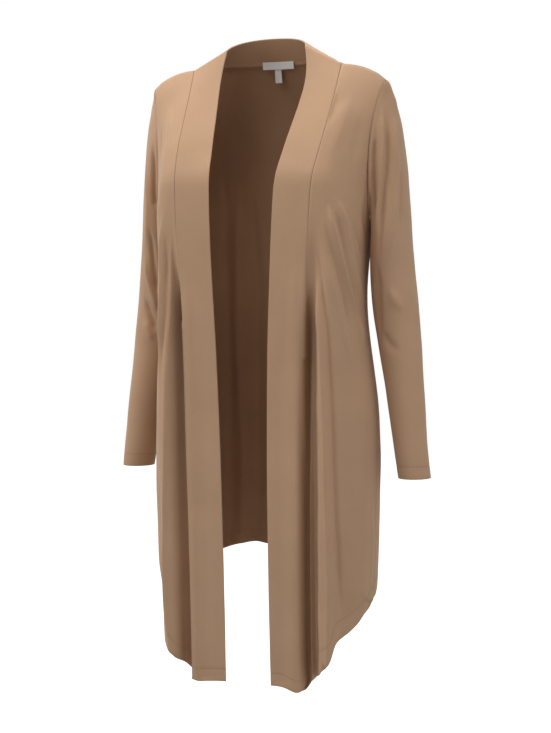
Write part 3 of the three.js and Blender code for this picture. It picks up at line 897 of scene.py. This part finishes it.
back = {
    **panel,
    "node": "back",
    "rim": 3.1,
    "sharpest": 60,
    "seed": 3,
    "seen": "back",
    "hangsFrom": ["neck_band_cloth"],
    "folds": [*shoulderTips, *sideDrops],
    "hemShape": [(-130, 4), (-100, 4), (-87, 3), (-70, 2.5), (-60, 1), (-52, -1.5), (-44, -5.5),
                 (-36, -6), (-20, -3), (0, 0)],
    "creases": [
        crease([(-121, 80, -121), (-111, 84, -203), (-107, 77, -302), (-101, 71, -401),
                (-103, 80, -500), (-106, 87, -601), (-105, 88, -701), (-105, 88, -790)],
               (9, 10), 5, fades=(0.3, 0.02)),
        crease([(-94, 90, -154), (-91, 86, -253), (-89, 77, -351), (-89, 77, -450), (-86, 86, -550),
                (-84, 90, -651), (-82, 91, -790)], (8, 9), -4, fades=(0.3, 0.02)),
        crease([(-73, 94, -171), (-63, 92, -253), (-54, 83, -351), (-53, 83, -450), (-55, 90, -549),
                (-56, 93, -649), (-57, 93, -790)], (10, 9), 5, fades=(0.3, 0.02)),
        crease([(-24, -400), (-26, -560), (-28, -690), (-26, -860)],
               (11, 12), -4.5, fades=(0.45, 0.02)),
        crease([(2, -330), (4, -480), (8, -640), (8, -860)], (12, 10), 5, fades=(0.45, 0.02)),
        crease([(34, -420), (38, -600), (38, -860)], (10, 12), -5, fades=(0.5, 0.02)),
        crease([(66, -300), (70, -460), (74, -640), (72, -860)], (12, 9), 5.5, fades=(0.45, 0.02)),
        crease([(98, -420), (102, -580), (102, -860)], (9, 11), -5, fades=(0.5, 0.02)),
        crease([(126, 64, -380), (130, 66, -520), (130, 64, -800)], (10, 8), 4.5, fades=(0.5, 0.02)),
        crease([(-134, 58, -420), (-138, 62, -580), (-136, 62, -800)],
               (9, 11), -4.5, fades=(0.5, 0.02)),
        crease([(152, -205), (130, -262), (102, -312), (72, -340)],
               (5, 6), 5, crisp=2, fades=(0.25, 0.5)),
        crease([(153, -226), (137, -277), (112, -325), (86, -354)], (5, 5), -4.5, fades=(0.25, 0.5)),
        crease([(154, -250), (144, -298), (124, -344), (102, -376)],
               (5, 6), 4.5, crisp=2, fades=(0.25, 0.5)),
        crease([(-152, -205), (-144, -240), (-132, -272)], (6, 5), 4.5, crisp=2, fades=(0.25, 0.5)),
        crease([(-154, -228), (-147, -262), (-136, -298)], (5, 5), -4, fades=(0.25, 0.5)),
        crease([(-154, -252), (-148, -290), (-138, -332)], (6, 5), 4, crisp=2, fades=(0.25, 0.5)),
        crease([(60, -80), (66, -120), (64, -180)], (16, 18), 2.2, fades=(0.4, 0.5)),
        crease([(-64, -80), (-70, -130), (-62, -200)], (18, 16), 2.2, fades=(0.4, 0.5)),
    ],
}
sleeve = {
    **panel,
    "tube": True,
    "rim": 3.1,
    "sharpest": 60,
    "waves": 1.0,
    "seamHold": 3,
    "folds": sleeveCaps,
}
# Creases at the cap and the back of the arm, alike on both sleeves
capSwell = crease([(207, -8, -52), (210, 12, -50), (207, 34, -54)], (16, 16), 2.5)
armBack = [
    crease([(206, 60, -110), (208, 62, -170), (206, 62, -240)], (7, 7), -6.1),
    crease([(194, 62, -120), (196, 64, -190), (196, 62, -270)],
           (6, 6), 6.1, crisp=2, fades=(0.3, 0.4)),
]
leftSleeve = {
    **sleeve,
    "node": "left_sleeve",
    "seed": 4,
    "hangsFrom": ["left_front_cloth", "back_cloth"],
    "creases": [
        crease([(183, -29, -135), (181, -27, -166), (179, -22, -193), (180, -18, -211)],
               (2.5, 3), 3.4, crisp=1, fades=(0.4, 0.3)),
        crease([(188, -22, -81), (189, -26, -117), (188, -28, -135), (187, -26, -172),
                (187, -24, -196), (186, -22, -219), (180, -14, -249)],
               (3.5, 3.5), -6.5, fades=(0.35, 0.2)),
        crease([(196, -12, -59), (198, -17, -99), (199, -22, -135), (197, -25, -172),
                (195, -25, -196), (191, -23, -229), (186, -18, -272)],
               (4.5, 4.5), 5.4, crisp=1.2, fades=(0.2, 0.4)),
        crease([(200, -9, -66), (204, -14, -99), (205, -17, -135), (205, -21, -172),
                (202, -23, -196), (200, -24, -227), (196, -23, -265), (191, -16, -306)],
               (4, 4.5), -6.1, fades=(0.25, 0.3)),
        crease([(209, -1, -74), (212, -1, -98), (214, -5, -135), (216, -7, -171), (216, -10, -208),
                (215, -13, -245), (213, -15, -281), (209, -14, -326)],
               (7, 5), 6.1, crisp=1.5, fades=(0.25, 0.4)),
        crease([(219, 3, -150), (221, 3, -189), (221, -2, -226), (221, -5, -264)], (6, 6), -4.1),
        capSwell,
        crease([(189, -16, -306), (189, -11, -349), (189, -7, -395), (192, -4, -434)],
               (6, 9), -5.4, fades=(0.3, 0.4)),
        crease([(208, -14, -341), (216, -10, -364), (230, -2, -382)], (8, 8), 3.4),
        crease([(193, -7, -410), (209, -11, -433), (230, -7, -444)], (7, 7), -3.4, fades=(0.3, 0.5)),
        *armBack,
        crease([(190, 48, -340), (206, 58, -366), (226, 52, -384)],
               (6, 7), 5.4, crisp=2, fades=(0.3, 0.5)),
        crease([(194, 46, -378), (210, 54, -402), (230, 46, -416)], (6, 7), -5.4, fades=(0.3, 0.5)),
    ],
}
rightSleeve = {
    **sleeve,
    "node": "right_sleeve",
    "seed": 5,
    "hangsFrom": ["right_front_cloth", "back_cloth"],
    "creases": [
        crease([(-191, -25, -110), (-190, -27, -150), (-189, -25, -198), (-187, -22, -222)],
               (3.5, 3.5), -6.8, fades=(0.35, 0.2)),
        crease([(-207, -13, -125), (-202, -23, -190), (-203, -23, -246), (-208, -17, -294)],
               (5, 5), 4.1, crisp=1.5, fades=(0.3, 0.4)),
        crease([(-199, -24, -246), (-196, -22, -270), (-195, -17, -305), (-192, -14, -335),
                (-190, -10, -361)], (4, 4), -6.1, fades=(0.4, 0.2)),
        crease([(-210, -16, -286), (-207, -15, -315), (-202, -15, -343), (-196, -12, -367),
                (-192, -9, -387)], (4, 4.5), 6.1, crisp=1.5, fades=(0.35, 0.25)),
        crease([(-215, -11, -359), (-207, -12, -380), (-199, -11, -400), (-194, -7, -419)],
               (4.5, 5), -5.4, fades=(0.35, 0.2)),
        crease([(-217, -11, -397), (-208, -12, -416), (-200, -9, -436)],
               (6, 6), 3.4, fades=(0.4, 0.3)),
        mirrored(capSwell),
        *map(mirrored, armBack),
        crease([(-190, 48, -335), (-206, 58, -360), (-226, 52, -376)],
               (7, 6), 5.4, crisp=2, fades=(0.3, 0.5)),
        crease([(-194, 46, -372), (-210, 54, -398), (-230, 46, -414)],
               (7, 6), -5.4, fades=(0.3, 0.5)),
    ],
}


def nearestMiddle(runs):
    return min(runs, key=lambda run: abs(meanOf(run, 0)) if len(run) > 12 else 9)


def highest(runs):
    return max(runs, key=lambda run: meanOf(run, 2))


band = {"levels": 4, "thickness": 2.2, "waves": 0.5, "freeEdge": nearestMiddle}
leftBand = {
    **band,
    "node": "left_band",
    "seed": 6,
    "hangsFrom": ["neck_band_cloth", "left_front_cloth"],
    "folds": [*leftTuck, *bustBreak],
    "hemShape": [(40, 1), (48, 2.4), (56, 3.8), (66, 3.4), (74, 2), (80, -0.6), (86, 0),
                 (90, 2), (94, 6), (98, 13), (102, 17)],
    "creases": [
        crease([(84, -300), (83, -420), (82, -600), (80, -800), (78, -970)],
               (9, 9), 2.2, fades=(0.2, 0)),
        crease([(60, -400), (58, -600), (60, -960)], (10, 10), -0.8, fades=(0.3, 0)),
    ],
}
rightBand = {
    **band,
    "node": "right_band",
    "seed": 7,
    "hangsFrom": ["neck_band_cloth", "right_front_cloth"],
    "folds": [*rightTuck, *bustBreak],
    "hemShape": [(-97, 0), (-93, -0.5), (-88, -3), (-83, -4), (-75, -2.5), (-60, -1), (-45, 0)],
    "creases": [
        crease([(-94, -300), (-92, -420), (-90, -600), (-90, -800), (-90, -970)],
               (8, 10), 1.6, fades=(0.2, 0)),
        crease([(-68, -380), (-66, -600), (-68, -960)], (10, 10), -1, fades=(0.3, 0)),
    ],
}
neckBand = {
    "node": "neck_band",
    "levels": 3,
    "thickness": 2.2,
    "seed": 8,
    "waves": 0.3,
    "seamDrop": 1.5,
    "hem": False,
    "freeEdge": highest,
    "hangsFrom": ["back_cloth"],
}

clothPieces = {
    "left_front_cloth": leftFront,
    "right_front_cloth": rightFront,
    "back_cloth": back,
    "left_sleeve_cloth": leftSleeve,
    "right_sleeve_cloth": rightSleeve,
    "left_band_cloth": leftBand,
    "right_band_cloth": rightBand,
    "neck_band_cloth": neckBand,
}
made = {name: makeCloth(name, plan) for name, plan in clothPieces.items()}

neckLabel = {
    "node": "neck_label",
    "levels": 2,
    "thickness": 0.7,
    "seed": 9,
    "waves": 0.1,
    "hem": False,
    "seamHold": 0.5,
    "materials": ("tape", "tape"),
    "slot": "label",
    "freeEdge": highest,
    "hangsFrom": ["neck_band_cloth"],
}
sizeTab = {**neckLabel, "node": "size_tab", "seed": 10, "hangsFrom": ["neck_label_tape"]}
made["neck_label_tape"] = makeCloth("neck_label_tape", neckLabel)
made["size_tab_tape"] = makeCloth("size_tab_tape", sizeTab)
print("cloth pieces made")

# Stitches: short rounded threads, joined into one mesh for each kind of thread

hemStitch = {
    "pieces": ["left_front_cloth", "right_front_cloth", "back_cloth", "left_sleeve_cloth",
               "right_sleeve_cloth", "left_band_cloth", "right_band_cloth"],
    "rows": (18.9 * mm, 21.1 * mm),
    "pitch": 3.1 * mm,
    "length": 2.5 * mm,
    "width": 0.42 * mm,
    "proud": 0.05 * mm,
}


# Walks joined links from end to end
def chains(ends):
    left = set(ends)
    walks = []
    while left:
        link = next((e for e in sorted(left) if len(ends[e]) == 1), min(left))
        walk = []
        while link is not None:
            left.discard(link)
            walk.append(link)
            link = next((other for other in ends[link] if other in left), None)
        walks.append(walk)
    return walks


# The lines on a piece where a value kept at its points passes a level, with the cloth's normal
def levelLines(mesh, values, level):
    ends = {}
    for face in mesh.polygons:
        crossed = []
        corners = list(face.vertices)
        for a, b in zip(corners, corners[1:] + corners[:1]):
            if (values[a] < level) != (values[b] < level):
                crossed.append((min(a, b), max(a, b)))
        if len(crossed) == 2:
            for edge, other in (crossed, crossed[::-1]):
                ends.setdefault(edge, []).append(other)

    def spot(edge):
        a, b = (mesh.vertices[i] for i in edge)
        share = (level - values[a.index]) / (values[b.index] - values[a.index])
        return a.co.lerp(b.co, share), a.normal.lerp(b.normal, share).normalized()

    return [[spot(edge) for edge in walk] for walk in chains(ends)]


# Places along a line at an even pitch: the place, the way along and the normal
def pitched(line, pitch):
    found = []
    need = pitch / 2
    for (a, normal), (b, _) in zip(line, line[1:]):
        span = (b - a).length
        while span > 0 and need <= span:
            found.append((a.lerp(b, need / span), (b - a).normalized(), normal))
            need += pitch
        need -= span
    return found


def addStitch(bm, place, along, normal, plan):
    side = normal.cross(along).normalized()
    turn = Matrix((along, side, along.cross(side))).transposed().to_4x4()
    size = Matrix.Diagonal((plan["length"] / 2, plan["width"] / 2, plan["width"] / 2, 1))
    put = Matrix.Translation(place + normal * plan["proud"])
    bmesh.ops.create_icosphere(bm, subdivisions=1, radius=1, matrix=put @ turn @ size)


def addTrim(name, mesh, material):
    mesh.materials.clear()
    mesh.materials.append(materials[material])
    mesh.shade_smooth()
    piece = addObject(name, mesh)
    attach(piece, "root")
    print(name, len(mesh.polygons), "faces")


def finishStitches(bm, name, material):
    mesh = bpy.data.meshes.new(name)
    bm.to_mesh(mesh)
    bm.free()
    addTrim(name, mesh, material)


def makeHemStitches():
    bm = bmesh.new()
    for name in hemStitch["pieces"]:
        mesh = made[name].data
        values = keptValues(mesh, "hemDistance")
        for level in hemStitch["rows"]:
            for line in levelLines(mesh, values, level):
                for place, along, normal in pitched(line, hemStitch["pitch"]):
                    addStitch(bm, place, along, normal, hemStitch)
    finishStitches(bm, "hem_stitches", "thread")


labelStitch = {
    "inset": 2.2 * mm,
    "count": 5,
    "length": 1.7 * mm,
    "width": 0.35 * mm,
    "proud": 0.05 * mm,
}


def makeLabelStitches():
    bm = bmesh.new()
    mesh = made["neck_label_tape"].data
    label = bmesh.new()
    label.from_mesh(mesh)
    surface = BVHTree.FromBMesh(label)
    label.free()
    low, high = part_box("neck_label")
    for x in (low.x + labelStitch["inset"], high.x - labelStitch["inset"]):
        for step in range(labelStitch["count"]):
            z = low.z + (step + 0.5) / labelStitch["count"] * (high.z - low.z)
            hit, normal, _, _ = surface.ray_cast(Vector((x, -0.1, z)), Vector((0, 1, 0)))
            if hit:
                normal = -normal if normal.y > 0 else normal
                along = Vector((0, 0, 1)) - normal * normal.z
                addStitch(bm, hit, along.normalized(), normal, labelStitch)
    finishStitches(bm, "label_stitches", "labelThread")


# Inside, each seam has its sewn allowance: a narrow roll of cloth just behind the seam. It is
# left out in the deep tucks and at the hem.
innerSeam = {
    "pieces": ["back_cloth", "left_sleeve_cloth", "right_sleeve_cloth", "left_front_cloth",
               "right_front_cloth"],
    "radius": 1.1 * mm,
    "behind": 1.7 * mm,
    "atSeam": 0.6 * mm,
    "offHem": 5 * mm,
    "mostTuck": 0.03,
    "fewest": 8,
}


def makeInnerSeams():
    curve = bpy.data.curves.new("inner_seams", "CURVE")
    curve.dimensions = "3D"
    curve.bevel_depth = innerSeam["radius"]
    curve.bevel_resolution = 1
    curve.use_fill_caps = True
    for name in innerSeam["pieces"]:
        mesh = made[name].data
        near = keptValues(mesh, "seamDistance") < innerSeam["atSeam"]
        near &= keptValues(mesh, "hemDistance") > innerSeam["offHem"]
        near &= keptValues(mesh, "tuckDepth") < innerSeam["mostTuck"]
        bm = bmesh.new()
        bm.from_mesh(mesh)
        bm.verts.ensure_lookup_table()
        ends = {}
        for edge in bm.edges:
            a, b = edge.verts
            if edge.is_boundary and near[a.index] and near[b.index]:
                ends.setdefault(a.index, []).append(b.index)
                ends.setdefault(b.index, []).append(a.index)
        for walk in chains(ends):
            if len(walk) < innerSeam["fewest"]:
                continue
            spline = curve.splines.new("POLY")
            kept = walk[::2]
            spline.points.add(len(kept) - 1)
            for point, index in zip(spline.points, kept):
                vert = bm.verts[index]
                point.co = (*(vert.co - vert.normal * innerSeam["behind"]), 1)
        bm.free()
    holder = addObject("inner_seams", curve)
    shown = holder.evaluated_get(bpy.context.evaluated_depsgraph_get())
    mesh = bpy.data.meshes.new_from_object(shown)
    bpy.data.objects.remove(holder)
    addTrim("inner_seams", mesh, "thread")


makeHemStitches()
makeLabelStitches()
makeInnerSeams()
print("stitches and seams made")

# Floor, light and camera

floorPlan = {
    "drop": -1.42,
    "size": 14,
    "colour": (0.93, 0.93, 0.93, 1),
    "glow": 0.85,
    "grainScale": 30.0,
    "grainBump": 0.05,
    "grainDepth": 1 * mm,
    "roughness": 0.9,
}


def makeFloor():
    bm = bmesh.new()
    bmesh.ops.create_grid(bm, x_segments=4, y_segments=4, size=floorPlan["size"] / 2)
    bmesh.ops.translate(bm, verts=bm.verts, vec=(0, 0, floorPlan["drop"]))
    mesh = bpy.data.meshes.new("floor")
    bm.to_mesh(mesh)
    bm.free()
    floor = addObject("floor", mesh)
    floor.visible_diffuse = False  # the cloth is lit by the studio, not by the floor's glow
    material, shade = newMaterial("paleFloor")
    grain = shade.grain(floorPlan["grainScale"])
    inputs = {
        "Base Color": floorPlan["colour"],
        "Roughness": floorPlan["roughness"],
        "Emission Color": floorPlan["colour"],
        "Emission Strength": floorPlan["glow"],
    }
    finishMaterial(shade, inputs, grain, floorPlan["grainBump"], floorPlan["grainDepth"])
    mesh.materials.append(material)


lights = {
    "top": {"place": (-0.35, -0.1, 1.5), "aim": (-0.1, 0, 0), "size": 1.8, "power": 41},
    "front": {"place": (-0.4, -2.4, 1.3), "aim": (0, 0, -0.1), "size": 1.2, "power": 7},
    "left": {"place": (-2.8, -1.6, 0.2), "aim": (0, 0, -0.45), "size": 2.4, "power": 28},
    "right": {"place": (3.0, -0.8, 0.2), "aim": (0, 0, -0.45), "size": 2.4, "power": 23},
}
roomLight = 0.35


def makeLights():
    for name, light in lights.items():
        data = bpy.data.lights.new(name, "AREA")
        data.size = light["size"]
        data.energy = light["power"]
        lamp = addObject(name, data)
        lamp.location = light["place"]
        aim = Vector(light["aim"]) - Vector(light["place"])
        lamp.rotation_euler = aim.to_track_quat("-Z", "Y").to_euler()
    # A white studio behind, which lights the cloth more softly than it shows
    world = bpy.data.worlds.new("studio")
    world.use_nodes = True
    tree = world.node_tree
    seen = tree.nodes.new("ShaderNodeLightPath")
    strength = Shade(tree, seen.outputs["Is Camera Ray"]) * (1 - roomLight) + roomLight
    background = tree.nodes["Background"]
    background.inputs["Color"].default_value = (1, 1, 1, 1)
    tree.links.new(strength.socket, background.inputs["Strength"])
    bpy.context.scene.world = world


cameraPlan = {
    "turn": math.radians(23),
    "pitch": math.radians(3.3),
    "distance": 2.8,
    "height": -0.31,
    "sideways": 0.0119,
    "focalPixels": 1764,
    "framePixels": 733,
    "sensor": 36,
}


def makeCamera():
    turn, pitch = cameraPlan["turn"], cameraPlan["pitch"]
    data = bpy.data.cameras.new("camera")
    data.sensor_fit = "VERTICAL"
    data.sensor_height = cameraPlan["sensor"]
    data.lens = cameraPlan["focalPixels"] / cameraPlan["framePixels"] * cameraPlan["sensor"]
    camera = addObject("camera", data)
    along = Vector((math.sin(turn), -math.cos(turn), 0))
    side = Vector((math.cos(turn), math.sin(turn), 0))
    camera.location = along * cameraPlan["distance"] + side * cameraPlan["sideways"]
    camera.location.z = cameraPlan["height"]
    forward = -along * math.cos(pitch) + Vector((0, 0, -math.sin(pitch)))
    camera.rotation_euler = forward.to_track_quat("-Z", "Y").to_euler()
    bpy.context.scene.camera = camera


makeFloor()
makeLights()
makeCamera()
bpy.context.scene.view_settings.view_transform = "Standard"
print("stage made")
